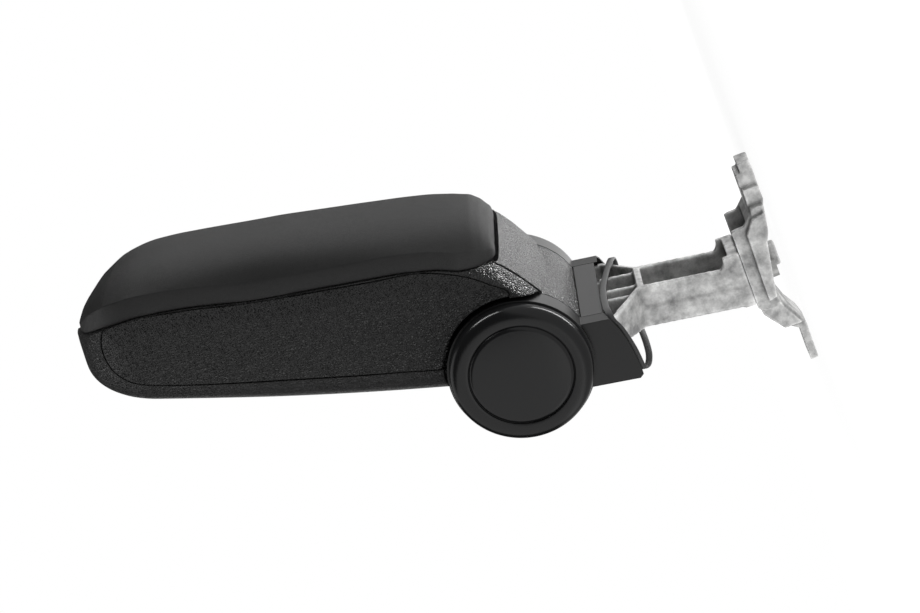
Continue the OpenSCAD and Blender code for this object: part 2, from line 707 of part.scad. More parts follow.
// Catch under the front of the lid base
strike_x = tip_x - 8.2;
module lid_striker() color("silver") stowed() {
    z = split_z(strike_x + 2.8);
    translate([strike_x + 1.6, -6, z - 3.3]) cube([1.2, 12, 3.8]);
    translate([strike_x + 0.5, -6, z - 3.3]) cube([1.3, 12, 1]);
    translate([strike_x - 1, -6, z - 0.3]) cube([3.8, 12, 0.8]);
}

// Release button: pad in the front wall, flange behind it and the hook over the catch
flange_x = tip_x - 8.6;
hook_w = 5;
button_h = 5.5;
module latch_button() color("#262627") stowed() {
    z = split_z(strike_x + 2.8);
    difference() {
        translate([flange_x, -button_w, slot_low + 0.4])
            cube([tip_x + 0.6 - flange_x, 2 * button_w, button_h]);
        translate([tip_x + 5.8, 0, slot_low + 3.5]) across(5.8, -button_w + 2, button_w - 2, 64);
    }
    translate([flange_x - 2, -button_w - 2.4, slot_low + 0.4]) cube([2.2, 2 * button_w + 4.8, button_h]);
    translate([flange_x - 2, -hook_w, slot_low + 5]) cube([2, 2 * hook_w, z - 0.4 - slot_low - 5]);
    translate([flange_x - 0.5, -hook_w, z - 1.9]) cube([1.1, 2 * hook_w, 1.5]);
    // Pin inside the spring, short of the wall by the travel
    translate([rib_x + button_travel + gap, 0, slot_low + 3.5]) rotate([0, 90, 0])
        cylinder(r = 1.4, h = flange_x - 1.5 - rib_x - button_travel - gap, $fn = 32);
}

// Return spring of the button
spring_r = 2.3;
wire_r = 0.35;
turns = 5;
module latch_spring() color("silver") stowed() {
    x0 = rib_x + wire_r + 0.05;
    x1 = flange_x - 2 - wire_r - 0.05;
    steps = turns * 12;
    rings = [for (i = [0:steps])
        let(
            a = i * 30,
            c = [x0 + (x1 - x0) * i / steps, spring_r * cos(a), slot_low + 3.5 + spring_r * sin(a)]
        )
        [for (k = [0:5]) c + wire_r * (cos(k * 60) * [0, cos(a), sin(a)] + sin(k * 60) * [1, 0, 0])]
    ];
    skin(rings);
}

foot_casting();
post_casting();
joint_screws();
shroud_left();
shroud_right();
shroud_tongue();
shroud_frame();
hub_cap_left();
hub_cap_right();
hinge_axle();
axle_nut();
friction_washers();
wave_washers();
lower_shell();
hinge_core();
core_screws();
side_panel_left();
side_panel_right();
storage_liner();
bump_stops();
lid_hinge_pin();
lid_base();
lid_pad();
lid_striker();
latch_button();
latch_spring();
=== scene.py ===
import math

import bmesh
import bpy
from mathutils import Matrix, Vector


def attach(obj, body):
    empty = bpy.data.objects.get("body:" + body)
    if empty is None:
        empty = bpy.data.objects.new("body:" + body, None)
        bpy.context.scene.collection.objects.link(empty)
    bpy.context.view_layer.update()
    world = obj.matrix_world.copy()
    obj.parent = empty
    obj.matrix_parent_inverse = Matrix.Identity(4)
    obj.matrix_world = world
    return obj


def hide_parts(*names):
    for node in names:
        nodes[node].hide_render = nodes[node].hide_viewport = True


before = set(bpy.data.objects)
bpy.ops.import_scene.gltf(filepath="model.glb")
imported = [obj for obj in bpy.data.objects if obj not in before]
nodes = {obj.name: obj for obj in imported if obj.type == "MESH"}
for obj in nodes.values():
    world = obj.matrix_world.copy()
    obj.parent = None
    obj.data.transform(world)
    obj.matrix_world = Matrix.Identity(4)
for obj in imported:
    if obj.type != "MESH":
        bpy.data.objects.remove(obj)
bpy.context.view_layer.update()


# Foot and post castings
# Raw pressure-cast aluminium: the foot bolts to the floor and carries the post with the two hinge ears.
# Edges are soft from the die and the skin is a mottled grey with small pits; the colour is darkened in
# hollows as painted shade and is lighter on sharp edges.
def apply_all(obj):
    graph = bpy.context.evaluated_depsgraph_get()
    mesh = bpy.data.meshes.new_from_object(obj.evaluated_get(graph))
    obj.modifiers.clear()
    old = obj.data
    obj.data = mesh
    bpy.data.meshes.remove(old)
    return obj


def shade(obj, degrees):
    bpy.ops.object.select_all(action="DESELECT")
    obj.select_set(True)
    bpy.context.view_layer.objects.active = obj
    bpy.ops.object.shade_smooth()
    bpy.ops.object.shade_smooth_by_angle(angle=math.radians(degrees))
    obj.select_set(False)


WELD_WITHIN = 1e-6


def cast_copy(name, voxel):
    source = nodes[name]
    obj = bpy.data.objects.new("cast_" + name, source.data.copy())
    bpy.context.scene.collection.objects.link(obj)
    weld = obj.modifiers.new("weld", "WELD")
    weld.merge_threshold = WELD_WITHIN
    remesh = obj.modifiers.new("remesh", "REMESH")
    remesh.mode = "VOXEL"
    remesh.voxel_size = voxel
    smooth = obj.modifiers.new("smooth", "SMOOTH")
    smooth.iterations = 3
    smooth.factor = 0.45
    apply_all(obj)
    shade(obj, 180)
    return obj


def material(name, color, roughness, metallic=0.0, specular=0.5):
    mat = bpy.data.materials.new(name)
    mat.use_nodes = True
    shader = mat.node_tree.nodes["Principled BSDF"]
    shader.inputs["Base Color"].default_value = (*color, 1)
    shader.inputs["Roughness"].default_value = roughness
    shader.inputs["Metallic"].default_value = metallic
    shader.inputs["Specular IOR Level"].default_value = specular
    return mat, mat.node_tree, shader


def add(tree, kind, **settings):
    node = tree.nodes.new(kind)
    for key, value in settings.items():
        setattr(node, key, value)
    return node


def dress(obj, mat):
    obj.data.materials.clear()
    obj.data.materials.append(mat)


CAST_FINENESS = {"post_casting": 0.00075, "foot_casting": 0.0006}
cast_mat, tree, shader = material("cast_aluminium", (0.6, 0.6, 0.59), 0.5, metallic=0.6)
place = add(tree, "ShaderNodeTexCoord")
blotch = add(tree, "ShaderNodeTexNoise")
blotch.inputs["Scale"].default_value = 110.0
blotch.inputs["Detail"].default_value = 6.0
blotch.inputs["Roughness"].default_value = 0.65
tree.links.new(place.outputs["Object"], blotch.inputs["Vector"])
tone = add(tree, "ShaderNodeValToRGB")
tone.color_ramp.elements[0].position = 0.32
tone.color_ramp.elements[0].color = (0.30, 0.30, 0.30, 1)
tone.color_ramp.elements[1].position = 0.66
tone.color_ramp.elements[1].color = (0.84, 0.84, 0.83, 1)
tree.links.new(blotch.outputs["Fac"], tone.inputs["Fac"])
# Pointiness scales the mottled colour: painted shade in hollows and crevices (down to 0.35), lighter on
# sharp edges (up to 1.5).
curve = add(tree, "ShaderNodeNewGeometry")
hollow_shade_edge_lift = add(tree, "ShaderNodeMapRange")
hollow_shade_edge_lift.inputs["From Min"].default_value = 0.44
hollow_shade_edge_lift.inputs["From Max"].default_value = 0.56
hollow_shade_edge_lift.inputs["To Min"].default_value = 0.35
hollow_shade_edge_lift.inputs["To Max"].default_value = 1.5
tree.links.new(curve.outputs["Pointiness"], hollow_shade_edge_lift.inputs["Value"])
skin = add(tree, "ShaderNodeVectorMath", operation="SCALE")
tree.links.new(tone.outputs["Color"], skin.inputs[0])
tree.links.new(hollow_shade_edge_lift.outputs["Result"], skin.inputs["Scale"])
tree.links.new(skin.outputs["Vector"], shader.inputs["Base Color"])
pits = add(tree, "ShaderNodeTexNoise")
pits.inputs["Scale"].default_value = 700.0
pits.inputs["Detail"].default_value = 4.0
tree.links.new(place.outputs["Object"], pits.inputs["Vector"])
bump = add(tree, "ShaderNodeBump")
bump.inputs["Strength"].default_value = 0.5
bump.inputs["Distance"].default_value = 0.0003
tree.links.new(pits.outputs["Fac"], bump.inputs["Height"])
tree.links.new(bump.outputs["Normal"], shader.inputs["Normal"])
rough = add(tree, "ShaderNodeMapRange")
rough.inputs["To Min"].default_value = 0.62
rough.inputs["To Max"].default_value = 0.36
tree.links.new(blotch.outputs["Fac"], rough.inputs["Value"])
tree.links.new(rough.outputs["Result"], shader.inputs["Roughness"])
for name, voxel in CAST_FINENESS.items():
    piece = cast_copy(name, voxel)
    dress(piece, cast_mat)
    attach(piece, "bracket")
    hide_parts(name)
dress(nodes["hinge_core"], cast_mat)


# Screws, axle, nut and washers
# Turned and stamped steel: the screws join foot and post, and the axle runs through both ears and the core.
# Friction washers of tan fibre and wave washers hold the tilt where it is left.
def soft_edge(tree, shader, radius, fine_scale, fine_depth):
    edge = add(tree, "ShaderNodeBevel")
    edge.samples = 4
    edge.inputs["Radius"].default_value = radius
    place = add(tree, "ShaderNodeTexCoord")
    fine = add(tree, "ShaderNodeTexNoise")
    fine.inputs["Scale"].default_value = fine_scale
    fine.inputs["Detail"].default_value = 3.0
    tree.links.new(place.outputs["Object"], fine.inputs["Vector"])
    bump = add(tree, "ShaderNodeBump")
    bump.inputs["Strength"].default_value = fine_depth
    bump.inputs["Distance"].default_value = 0.0001
    tree.links.new(fine.outputs["Fac"], bump.inputs["Height"])
    tree.links.new(edge.outputs["Normal"], bump.inputs["Normal"])
    tree.links.new(bump.outputs["Normal"], shader.inputs["Normal"])
    return fine


def finish_small(finishes):
    for name, (label, color, roughness, metallic) in finishes.items():
        mat, tree, shader = material(label, color, roughness, metallic)
        soft_edge(tree, shader, 0.0003, 1500.0, 0.1)
        dress(nodes[name], mat)
        shade(nodes[name], 30)


hub_finishes = {
    "joint_screws": ("screw_zinc", (0.5, 0.5, 0.49), 0.42, 0.9),
    "core_screws": ("core_screw_dark", (0.06, 0.06, 0.062), 0.42, 0.9),
    "hinge_axle": ("axle_steel", (0.62, 0.62, 0.62), 0.3, 1.0),
    "axle_nut": ("nut_steel", (0.62, 0.62, 0.62), 0.32, 1.0),
    "wave_washers": ("wave_steel", (0.6, 0.6, 0.6), 0.3, 1.0),
    "friction_washers": ("washer_tan", (0.45, 0.33, 0.18), 0.5, 0.0),
}
finish_small(hub_finishes)


# Shroud halves and tongue
# Thin satin black mouldings: two drums round the ears, with their cheeks, which close round
# the post, and a dark grey panel between them behind the barrel.
shroud_mat, tree, shader = material("shroud_satin_black", (0.005, 0.0051, 0.0053), 0.34, specular=0.3)
soft_edge(tree, shader, 0.0006, 1800.0, 0.08)
for name in ("shroud_left", "shroud_right"):
    dress(nodes[name], shroud_mat)
    shade(nodes[name], 30)
tongue_mat, tree, shader = material("tongue_dark_grey", (0.034, 0.0343, 0.035), 0.42)
soft_edge(tree, shader, 0.0006, 1800.0, 0.1)
dress(nodes["shroud_tongue"], tongue_mat)


# Bowed band of the shroud
# A thin flat plastic band that bows round the open end of the shroud and springs into its cheeks.
STOWED = (
    Matrix.Translation((0.038, 0, 0.1441))
    @ Matrix.Rotation(math.radians(-99.2), 4, "Y")
    @ Matrix.Scale(0.001, 4)
)


def new_piece(name, points, faces, smooth=True, place=STOWED):
    mesh = bpy.data.meshes.new(name)
    mesh.from_pydata([tuple(place @ Vector(p)) for p in points], [], faces)
    mesh.validate()
    bm = bmesh.new()
    bm.from_mesh(mesh)
    bmesh.ops.recalc_face_normals(bm, faces=bm.faces)
    bm.to_mesh(mesh)
    bm.free()
    obj = bpy.data.objects.new(name, mesh)
    bpy.context.scene.collection.objects.link(obj)
    for polygon in mesh.polygons:
        polygon.use_smooth = smooth
    return obj


def loft(name, rings, closed=False):
    n = len(rings[0])
    points = [p for ring in rings for p in ring]
    faces = []
    last = len(rings) if closed else len(rings) - 1
    for j in range(last):
        a, b = j * n, (j + 1) % len(rings) * n
        for i in range(n):
            k = (i + 1) % n
            faces.append((a + i, a + k, b + k, b + i))
    if not closed:
        faces.append(tuple(range(n)))
        faces.append(tuple(range((len(rings) - 1) * n, len(rings) * n)))
    return new_piece(name, points, faces)


def round_outline(points, steps=6):
    out = []
    n = len(points)
    for i in range(n):
        p0, p1, p2, p3 = (Vector(points[(i + k) % n]) for k in (-1, 0, 1, 2))
        for k in range(steps):
            t = k / steps
            q = 0.5 * (
                2 * p1
                + (p2 - p0) * t
                + (2 * p0 - 5 * p1 + 4 * p2 - p3) * t * t
                + (3 * p1 - p0 - 3 * p2 + p3) * t * t * t
            )
            out.append(tuple(q))
    return out


def bent(v, power):
    return math.copysign(abs(v) ** (2 / power), v)


BAND_HALF_WIDTH = 42.45
BAND_DEPTH = 3.6
BAND_THICK = 1.3


def band():
    y = BAND_HALF_WIDTH
    path = [
        (-50.1, y, 14.4), (-49, 38, 16.6), (-48.1, 28, 17.2), (-48.6, 8, 17.4), (-51.6, -12, 17.4),
        (-55.4, -32, 17), (-57, 2 - y, 14), (-58, -y, 6), (-59.4, -y, -4), (-60.6, -y, -13.6),
        (-61.8, -36, -15.6), (-63.2, -20, -15.8), (-64.4, -4, -15.8), (-65.2, 12, -16),
        (-65.2, 26, -16.2), (-63.8, 36, -16.6), (-61.4, y - 1, -16), (-60.3, y, -13.6),
        (-57.8, y, -3), (-53.6, y, 8.4),
    ]
    line = [Vector(p) for p in round_outline(path, 8)]
    rings = []
    for i, p in enumerate(line):
        ahead = line[(i + 1) % len(line)] - line[i - 1]
        side = Vector((1, 0, 0)).cross(ahead).normalized()
        ring = []
        for k in range(12):
            a = 2 * math.pi * k / 12
            across = Vector((BAND_DEPTH / 2 * bent(math.cos(a), 5), 0, 0))
            ring.append(tuple(p + across + side * BAND_THICK / 2 * bent(math.sin(a), 5)))
        rings.append(ring)
    return loft("bowed_band", rings, closed=True)


frame_band = band()
shade(frame_band, 50)
band_mat, tree, shader = material("band_dark_grey", (0.02, 0.0203, 0.021), 0.34)
soft_edge(tree, shader, 0.0003, 1800.0, 0.08)
dress(frame_band, band_mat)
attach(frame_band, "bracket")
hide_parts("shroud_frame")


# Hub caps
# Satin black moulded discs, pressed into the drums over the axle's ends: a flat face with a ring groove
# round it, and a rim that turns down in one tight curve.
RIM_FROM = 27.3
RIM_WIDTH = 9.6


def hub_cap(name, side):
    outline = [
        (0.0, 56.95), (24.6, 56.95), (25.25, 56.85), (25.85, 56.6), (26.4, 56.2), (26.7, 55.7),
        (26.9, 55.6), (27.1, 55.8), (RIM_FROM, 56.4),
    ]
    for k in range(25):
        a = math.radians(88 - k * 88 / 24)
        outline.append((RIM_FROM + RIM_WIDTH * math.cos(a) ** 0.6, 50 + 6.6 * math.sin(a) ** 0.6))
    outline += [(36.5, 49.6), (35.2, 49.6), (35.2, 43.5), (33.4, 43.5), (33.4, 50.5), (24.6, 54)]
    outline.append((0.0, 54.7))
    count = 200
    points = []
    faces = []
    for k in range(count):
        a = 2 * math.pi * k / count
        points += [(r * math.cos(a), side * y, r * math.sin(a)) for r, y in outline]
    n = len(outline)
    for k in range(count):
        a, b = k * n, (k + 1) % count * n
        faces += [(a + i, a + i + 1, b + i + 1, b + i) for i in range(n - 1)]
    cap = new_piece(name, points, faces)
    bm = bmesh.new()
    bm.from_mesh(cap.data)
    bmesh.ops.remove_doubles(bm, verts=bm.verts, dist=1e-6)
    bmesh.ops.recalc_face_normals(bm, faces=bm.faces)
    bm.to_mesh(cap.data)
    bm.free()
    shade(cap, 35)
    return cap


cap_mat, tree, shader = material("cap_satin_black", (0.0045, 0.0046, 0.0048), 0.2, specular=0.24)
soft_edge(tree, shader, 0.0005, 2600.0, 0.06)
for name, side in (("hub_cap_left", 1), ("hub_cap_right", -1)):
    cap = hub_cap("disc_" + name, side)
    dress(cap, cap_mat)
    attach(cap, "bracket")
    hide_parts(name)


# Lower shell of the arm
# One moulding in leather-grained black plastic: a soft box with flat sides, a round nose and a belly that
# rises to the tip, a slanting neck, and a barrel that turns on the metal core between the two drums.
def prism(name, outline, y0, y1):
    rings = [[(x, y, z) for x, z in outline] for y in (y0, y1)]
    return loft(name, rings)


def drum(name, radius, y0, y1, x=0.0, z=0.0, count=160):
    turns = [2 * math.pi * k / count for k in range(count)]
    return prism(name, [(x + radius * math.cos(a), z + radius * math.sin(a)) for a in turns], y0, y1)


def rod(name, start, end, radius, count=32):
    rings = []
    for p in (start, end):
        ring = []
        for k in range(count):
            c, d = radius * math.cos(2 * math.pi * k / count), radius * math.sin(2 * math.pi * k / count)
            ring.append((p[0], p[1] + c, p[2] + d) if start[2] == end[2] else (p[0] + c, p[1] + d, p[2]))
        rings.append(ring)
    return loft(name, rings)


def cut(obj, tool, how="DIFFERENCE"):
    step = obj.modifiers.new(how, "BOOLEAN")
    step.operation = how
    step.solver = "MANIFOLD"
    step.object = tool
    bpy.context.view_layer.objects.active = obj
    bpy.context.view_layer.update()
    apply_all(obj)
    bpy.data.objects.remove(tool)
    return obj


def lookup(x, table):
    if x <= table[0][0]:
        return table[0][1]
    for (x0, v0), (x1, v1) in zip(table, table[1:]):
        if x <= x1:
            return v0 + (v1 - v0) * (x - x0) / (x1 - x0)
    return table[-1][1]


def eased(x, table):
    span = 5.0
    steps = [lookup(x + span * k / 4, table) for k in range(-4, 5)]
    return sum(steps) / len(steps)


def nose(x, start, end, power):
    if x <= start:
        return 1.0
    return max(0.0, 1 - ((x - start) / (end - start)) ** power) ** (1 / power)


TIP_X = 226
NOSE_X = 186
HALF_WIDTH = 49
SHELL_BACK = -18
BARREL_R = 37.8
BARREL_HALF = 35.5
DRUM_ROOM_R = 39.6
LID_PIN = (7, 60.5)
SPLIT = [
    (-18, -29.5), (-8, -16.5), (1, -7.6), (18, -7.6), (30, -3.9), (48, -1.8), (125, 0),
    (154, 3.2), (170, 4), (186, 3.8), (204, 0.3), (218, -5), (228, -8.5),
]
TOP_INSET = [(-18, 13), (-8, 11.5), (0, 8.5), (8, 5), (18, 2.4), (32, 2.2)]
PANEL = [
    (60, 11.5), (82, 14.5), (116, 19.8), (150, 25), (178, 30.2), (193, 34.4), (201.8, 40.7),
    (205.6, 48.2), (205.9, 55.8), (203.8, 62.8), (200.4, 65.3), (190.5, 68.1), (178.4, 68),
    (153.8, 66.7), (124.9, 64), (70, 62), (48.6, 61.8), (39, 61), (29.6, 58.9), (17.8, 54.6),
    (7.7, 49), (-2, 41.5), (10, 30), (20, 12), (38, 8.6),
]


def split_z(x):
    return 64.5 + (eased(x, SPLIT) if 12 < x < 216 else lookup(x, SPLIT))


def belly_z(x):
    return 0.11 * x + 0.00031 * x * x - 14.9


def tub(name, inset, x0, lift=0.0):
    end = TIP_X - inset
    xs = [x0 + (NOSE_X - x0) * k / 60 for k in range(60)]
    xs += [NOSE_X + (end - NOSE_X) * math.sin(math.radians(k * 90 / 30.6)) for k in range(31)]
    rings = []
    for x in xs:
        s = nose(x, NOSE_X, end, 2.4)
        w = max(0.4, (HALF_WIDTH - inset) * s)
        w_top = max(0.3, (HALF_WIDTH - inset - lookup(x, TOP_INSET)) * s)
        top = split_z(x) + lift
        mid = belly_z(x) + (split_z(x) - belly_z(x)) * 0.59
        h = (mid - belly_z(x) - inset) * s
        side = []
        for k in range(12, 0, -1):
            t = k / 12
            bend = max(0.0, (t - 0.55) / 0.45) ** 2
            side.append((w * (1 - 0.006 * t) * (1 - bend) + w_top * bend, mid + (top - mid) * t))
        ring = [(x, -y, z) for y, z in side]
        for a in range(180, -1, -5):
            c, d = math.cos(math.radians(a)), math.sin(math.radians(a))
            ring.append((x, w * bent(c, 4.2), mid - h * bent(d, 4.2)))
        ring += [(x, y, z) for y, z in reversed(side)]
        rings.append(ring)
    return loft(name, rings)


def panel_cutter(side, grow):
    middle = Vector((110, 42))
    outline = []
    for p in round_outline(PANEL):
        v = Vector(p)
        away = v - middle
        outline.append(tuple(v + Vector((away.x * 0.35, away.y)).normalized() * grow))
    lo, hi = (29.4, 54) if side > 0 else (-54, -29.4)
    block = prism("panel_cutter", outline, lo, hi)
    return cut(block, drum("hub_room", 40.4 - grow, -60, 60))


def neck_z(x, share):
    return 58.8 + 1.293 * x - 3.6 * share ** 3.2


def lower_shell():
    shell = tub("armrest_shell", 0, SHELL_BACK)
    cut(shell, tub("hollow", 4.6, 47, 3))
    for lo, hi in ((BARREL_HALF, 60), (-60, -BARREL_HALF)):
        cut(shell, drum("cap_room", DRUM_ROOM_R, lo, hi))
    for side in (-1, 1):
        recess = panel_cutter(side, 0.9)
        cut(recess, tub("recess_floor", 2, -9, 6))
        cut(shell, recess)
    base = [(1.6, 56.1), (-1.5, 53.4), (-27.5, 20), (-20, 10), (30, 10), (46, 20), (46, 58.1), (18, 56.8)]
    cut(shell, prism("neck", base, -BARREL_HALF, BARREL_HALF), "UNION")
    face = [(2, 40.4), (0, 40), (-6, 38.8), (-12, 37.6), (-18, 36.6), (-24, 35.9), (-27.5, 35.6)]
    wide = loft("neck_face", [
        [(x, w, neck_z(x, 1) - 5)] + [(x, w * k / 12, neck_z(x, abs(k / 12))) for k in range(12, -13, -1)]
        + [(x, -w, neck_z(x, 1) - 5)] for x, w in face
    ])
    for lo, hi in ((BARREL_HALF, 60), (-60, -BARREL_HALF)):
        cut(wide, drum("drum_room", DRUM_ROOM_R, lo, hi))
    cut(shell, wide, "UNION")
    cut(shell, drum("barrel", BARREL_R, -BARREL_HALF, BARREL_HALF), "UNION")
    groove_section = [(-0.1, -1.4), (1.3, -1.4), (1.3, 7), (-0.1, 7)]
    for side in (-1, 1):
        cut(shell, loft("valley", [
            [(x, side * (w + y), neck_z(x, 1) + z) for y, z in groove_section]
            for x, w in face[:-1]
        ]))
    cut(shell, prism("spring_wall", [(205, 28), (207, 28), (207, 56.5), (205, 56.5)], -16, 16), "UNION")
    for y in (-13, 13):
        cut(shell, rod("stop_pillar", (206, y, 28), (206, y, 56.5), 3.2), "UNION")
    cut(shell, drum("barrel_room", 35.2, -33, 33))
    cut(shell, drum("core_room", 9.05, -36.5, 36.5))
    rear = [(8, 37.8), (8, 49), (20, 52), (48, 56.5), (48, -4.6), (34, -4.6)]
    hollow = prism("rear_hollow", rear, -33, 33)
    cut(shell, cut(hollow, drum("barrel_kept", BARREL_R, -60, 60)))
    for y in (-14, 14):
        cut(shell, rod("screw_room", (29.8, y, 0), (38.8, y, 0), 2.5))
    groove = [(-42, 5), (-40.5, 6.6), (-38.8, 7.6), (-36.5, 8.2), (-34, 8.5), (-31, 8.6)]
    groove += [(-y, radius) for y, radius in reversed(groove)]
    turns = [2 * math.pi * k / 96 for k in range(96)]
    cut(shell, loft("lid_groove", [
        [(LID_PIN[0] + radius * math.cos(a), y, LID_PIN[1] + radius * math.sin(a)) for a in turns]
        for y, radius in groove
    ]))
    slot = [(218, 49), (238, 49), (238, 89), (218, 89)]
    cut(shell, prism("button_slot", slot, -11.3, 11.3))
    ear = [
        (5.4, 57.4), (3.6, 60.6), (5, 63.4), (7.6, 64), (9.6, 62.8), (19, 55), (19, 49.5), (13.5, 49.5),
    ]
    for y in (14.4, -18.4):
        cut(shell, prism("ear", ear, y, y + 4), "UNION")
    cut(shell, drum("pin_hole", 1.56, -20, 20, *LID_PIN, 32))
    shade(shell, 28)
    return shell


def node_group(name, inputs, outputs):
    group = bpy.data.node_groups.new(name, "ShaderNodeTree")
    for label, kind, value in inputs:
        socket = group.interface.new_socket(label, in_out="INPUT", socket_type=kind)
        if value is not None:
            socket.default_value = value
    for label, kind in outputs:
        group.interface.new_socket(label, in_out="OUTPUT", socket_type=kind)
    first = group.nodes.new("NodeGroupInput")
    last = group.nodes.new("NodeGroupOutput")
    return group, first, last


def grain_group():
    group, first, last = node_group(
        "leather_grain",
        [
            ("Cells", "NodeSocketFloat", 900.0),
            ("Depth", "NodeSocketFloat", 0.3),
            ("Edge", "NodeSocketFloat", 0.0005),
        ],
        [("Normal", "NodeSocketVector"), ("Pebble", "NodeSocketFloat")],
    )
    place = add(group, "ShaderNodeTexCoord")
    warp = add(group, "ShaderNodeTexNoise")
    warp.inputs["Scale"].default_value = 420.0
    warp.inputs["Detail"].default_value = 2.0
    shift = add(group, "ShaderNodeMixRGB", blend_type="LINEAR_LIGHT")
    shift.inputs["Fac"].default_value = 0.0012
    group.links.new(place.outputs["Object"], warp.inputs["Vector"])
    group.links.new(place.outputs["Object"], shift.inputs["Color1"])
    group.links.new(warp.outputs["Color"], shift.inputs["Color2"])
    cells = add(group, "ShaderNodeTexVoronoi", feature="DISTANCE_TO_EDGE")
    group.links.new(shift.outputs["Color"], cells.inputs["Vector"])
    group.links.new(first.outputs["Cells"], cells.inputs["Scale"])
    dome = add(group, "ShaderNodeMapRange", interpolation_type="SMOOTHSTEP")
    dome.inputs["From Max"].default_value = 0.28
    group.links.new(cells.outputs["Distance"], dome.inputs["Value"])
    wide = add(group, "ShaderNodeTexNoise")
    wide.inputs["Scale"].default_value = 260.0
    wide.inputs["Detail"].default_value = 3.0
    group.links.new(place.outputs["Object"], wide.inputs["Vector"])
    total = add(group, "ShaderNodeMath", operation="MULTIPLY_ADD")
    total.inputs[1].default_value = 0.5
    group.links.new(wide.outputs["Fac"], total.inputs[0])
    group.links.new(dome.outputs["Result"], total.inputs[2])
    bump = add(group, "ShaderNodeBump")
    bump.inputs["Distance"].default_value = 0.0009
    group.links.new(first.outputs["Depth"], bump.inputs["Strength"])
    group.links.new(total.outputs["Value"], bump.inputs["Height"])
    edge = add(group, "ShaderNodeBevel")
    edge.samples = 4
    group.links.new(first.outputs["Edge"], edge.inputs["Radius"])
    group.links.new(edge.outputs["Normal"], bump.inputs["Normal"])
    group.links.new(bump.outputs["Normal"], last.inputs["Normal"])
    group.links.new(dome.outputs["Result"], last.inputs["Pebble"])
    return group


GRAIN = grain_group()


def grained(tree, shader, cells, depth, edge, tones, roughs):
    grain = add(tree, "ShaderNodeGroup", node_tree=GRAIN)
    grain.inputs["Cells"].default_value = cells
    grain.inputs["Depth"].default_value = depth
    grain.inputs["Edge"].default_value = edge
    tree.links.new(grain.outputs["Normal"], shader.inputs["Normal"])
    for socket, (low, high) in (("Base Color", tones), ("Roughness", roughs)):
        span = add(tree, "ShaderNodeMapRange")
        span.inputs["To Min"].default_value = low
        span.inputs["To Max"].default_value = high
        tree.links.new(grain.outputs["Pebble"], span.inputs["Value"])
        tree.links.new(span.outputs["Result"], shader.inputs[socket])


shell = lower_shell()
shell_mat, tree, shader = material("shell_black_grained", (0.011, 0.011, 0.0115), 0.36)
grained(tree, shader, 800.0, 0.8, 0.0012, (0.002, 0.0065), (0.46, 0.28))
dress(shell, shell_mat)
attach(shell, "arm")
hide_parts("lower_shell")


# Side panels
# Separate trim panels in the same grained black plastic, let into recesses of the shell, with a small
# rounded edge and a thin shadow gap all round.
def side_panel(name, side):
    panel = tub(name, 0.02, SHELL_BACK)
    cut(panel, panel_cutter(side, 0), "INTERSECT")
    cut(panel, tub("panel_back", 2, -9, 6))
    rim = panel.modifiers.new("rim", "BEVEL")
    rim.width = 0.0007
    rim.segments = 3
    rim.limit_method = "ANGLE"
    rim.angle_limit = math.radians(50)
    rim.use_clamp_overlap = True
    apply_all(panel)
    shade(panel, 35)
    return panel


panel_mat, tree, shader = material("panel_black_grained", (0.010, 0.010, 0.0105), 0.34)
grained(tree, shader, 800.0, 0.8, 0.0006, (0.0015, 0.005), (0.46, 0.26))
for name, side in (("side_panel_left", 1), ("side_panel_right", -1)):
    panel = side_panel("trim_" + name, side)
    dress(panel, panel_mat)
    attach(panel, "arm")
    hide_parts(name)


# Storage liner, rubber stops and hinge pin of the lid
# A grey tray dropped into the compartment, two rubber stops pressed in behind the button, and a steel pin
# through the ears of the shell.
compartment_finishes = {
    "storage_liner": ("liner_grey", (0.03, 0.03, 0.031), 0.6, 0.0),
    "bump_stops": ("stop_rubber", (0.012, 0.012, 0.012), 0.7, 0.0),
    "lid_hinge_pin": ("pin_steel", (0.62, 0.62, 0.62), 0.28, 1.0),
}
finish_small(compartment_finishes)


# Padded lid cover
# Foam pad with a smooth vinyl skin, crowned along its length and pulled down over the lid base. Its hollow
# under side leaves room for the base, the hinge pin and the shell's two ears.
CROWN = [
    (1, -25), (2.5, -20), (6, -15), (11, -11.5), (20, -9.5), (33, -7.4), (70, -4), (112, -0.8),
    (144, -0.2), (172, 0), (190, -1.8), (202, -5.6), (212, -11.5), (220, -19), (225, -27.5),
]
SHOULDER = [
    (1, 3), (6, 6.5), (14, 9), (60, 9.4), (108, 9.4), (160, 9.8), (186, 10.4), (202, 10.6),
    (212, 9), (225, 2),
]
SWELL_LIMIT = 0.0016


def pad_ring(x, inset, low, high, end):
    rear = lookup(x, [(0.6, 29), (1.2, 33), (2.5, 37), (6, 41), (11, 44.2), (20, 46.4)])
    w = max(0.4, (min(rear, 46.4) - inset) * nose(x, 180, 224.5 - inset, 2.4))
    z0 = split_z(max(x, 1)) + low
    crown = 86.5 + (eased(x, CROWN) if 25 < x < 196 else lookup(x, CROWN))
    h = max(0.6, (high if high > 0 else crown - split_z(max(x, 1)) - inset) - low)
    if high > 0:
        turns = [math.radians(a) for a in range(0, 181, 5)]
        return [(x, w * bent(math.cos(a), 8), z0 + h * bent(math.sin(a), 8)) for a in turns]
    fold = min(eased(x, SHOULDER), 0.7 * h)
    a0 = math.asin((fold / h) ** 1.25)
    y0 = w * bent(math.cos(a0), 2.5)
    proud = max(0.0, 0.958 * w - y0)
    side = [(w * (0.992 - 0.034 * (k / 7) ** 1.6), fold * k / 7) for k in range(7)]
    dome = []
    for k in range(37):
        a = a0 + (math.pi - 2 * a0) * (0.5 - 0.5 * math.cos(math.pi * k / 36))
        y, z = w * bent(math.cos(a), 2.5), h * bent(math.sin(a), 2.5)
        dome.append((y + math.copysign(proud * math.exp((fold - z) / 3), y), z))
    section = side + dome + [(-y, z) for y, z in reversed(side)]
    return [(x, y, z0 + z) for y, z in section]


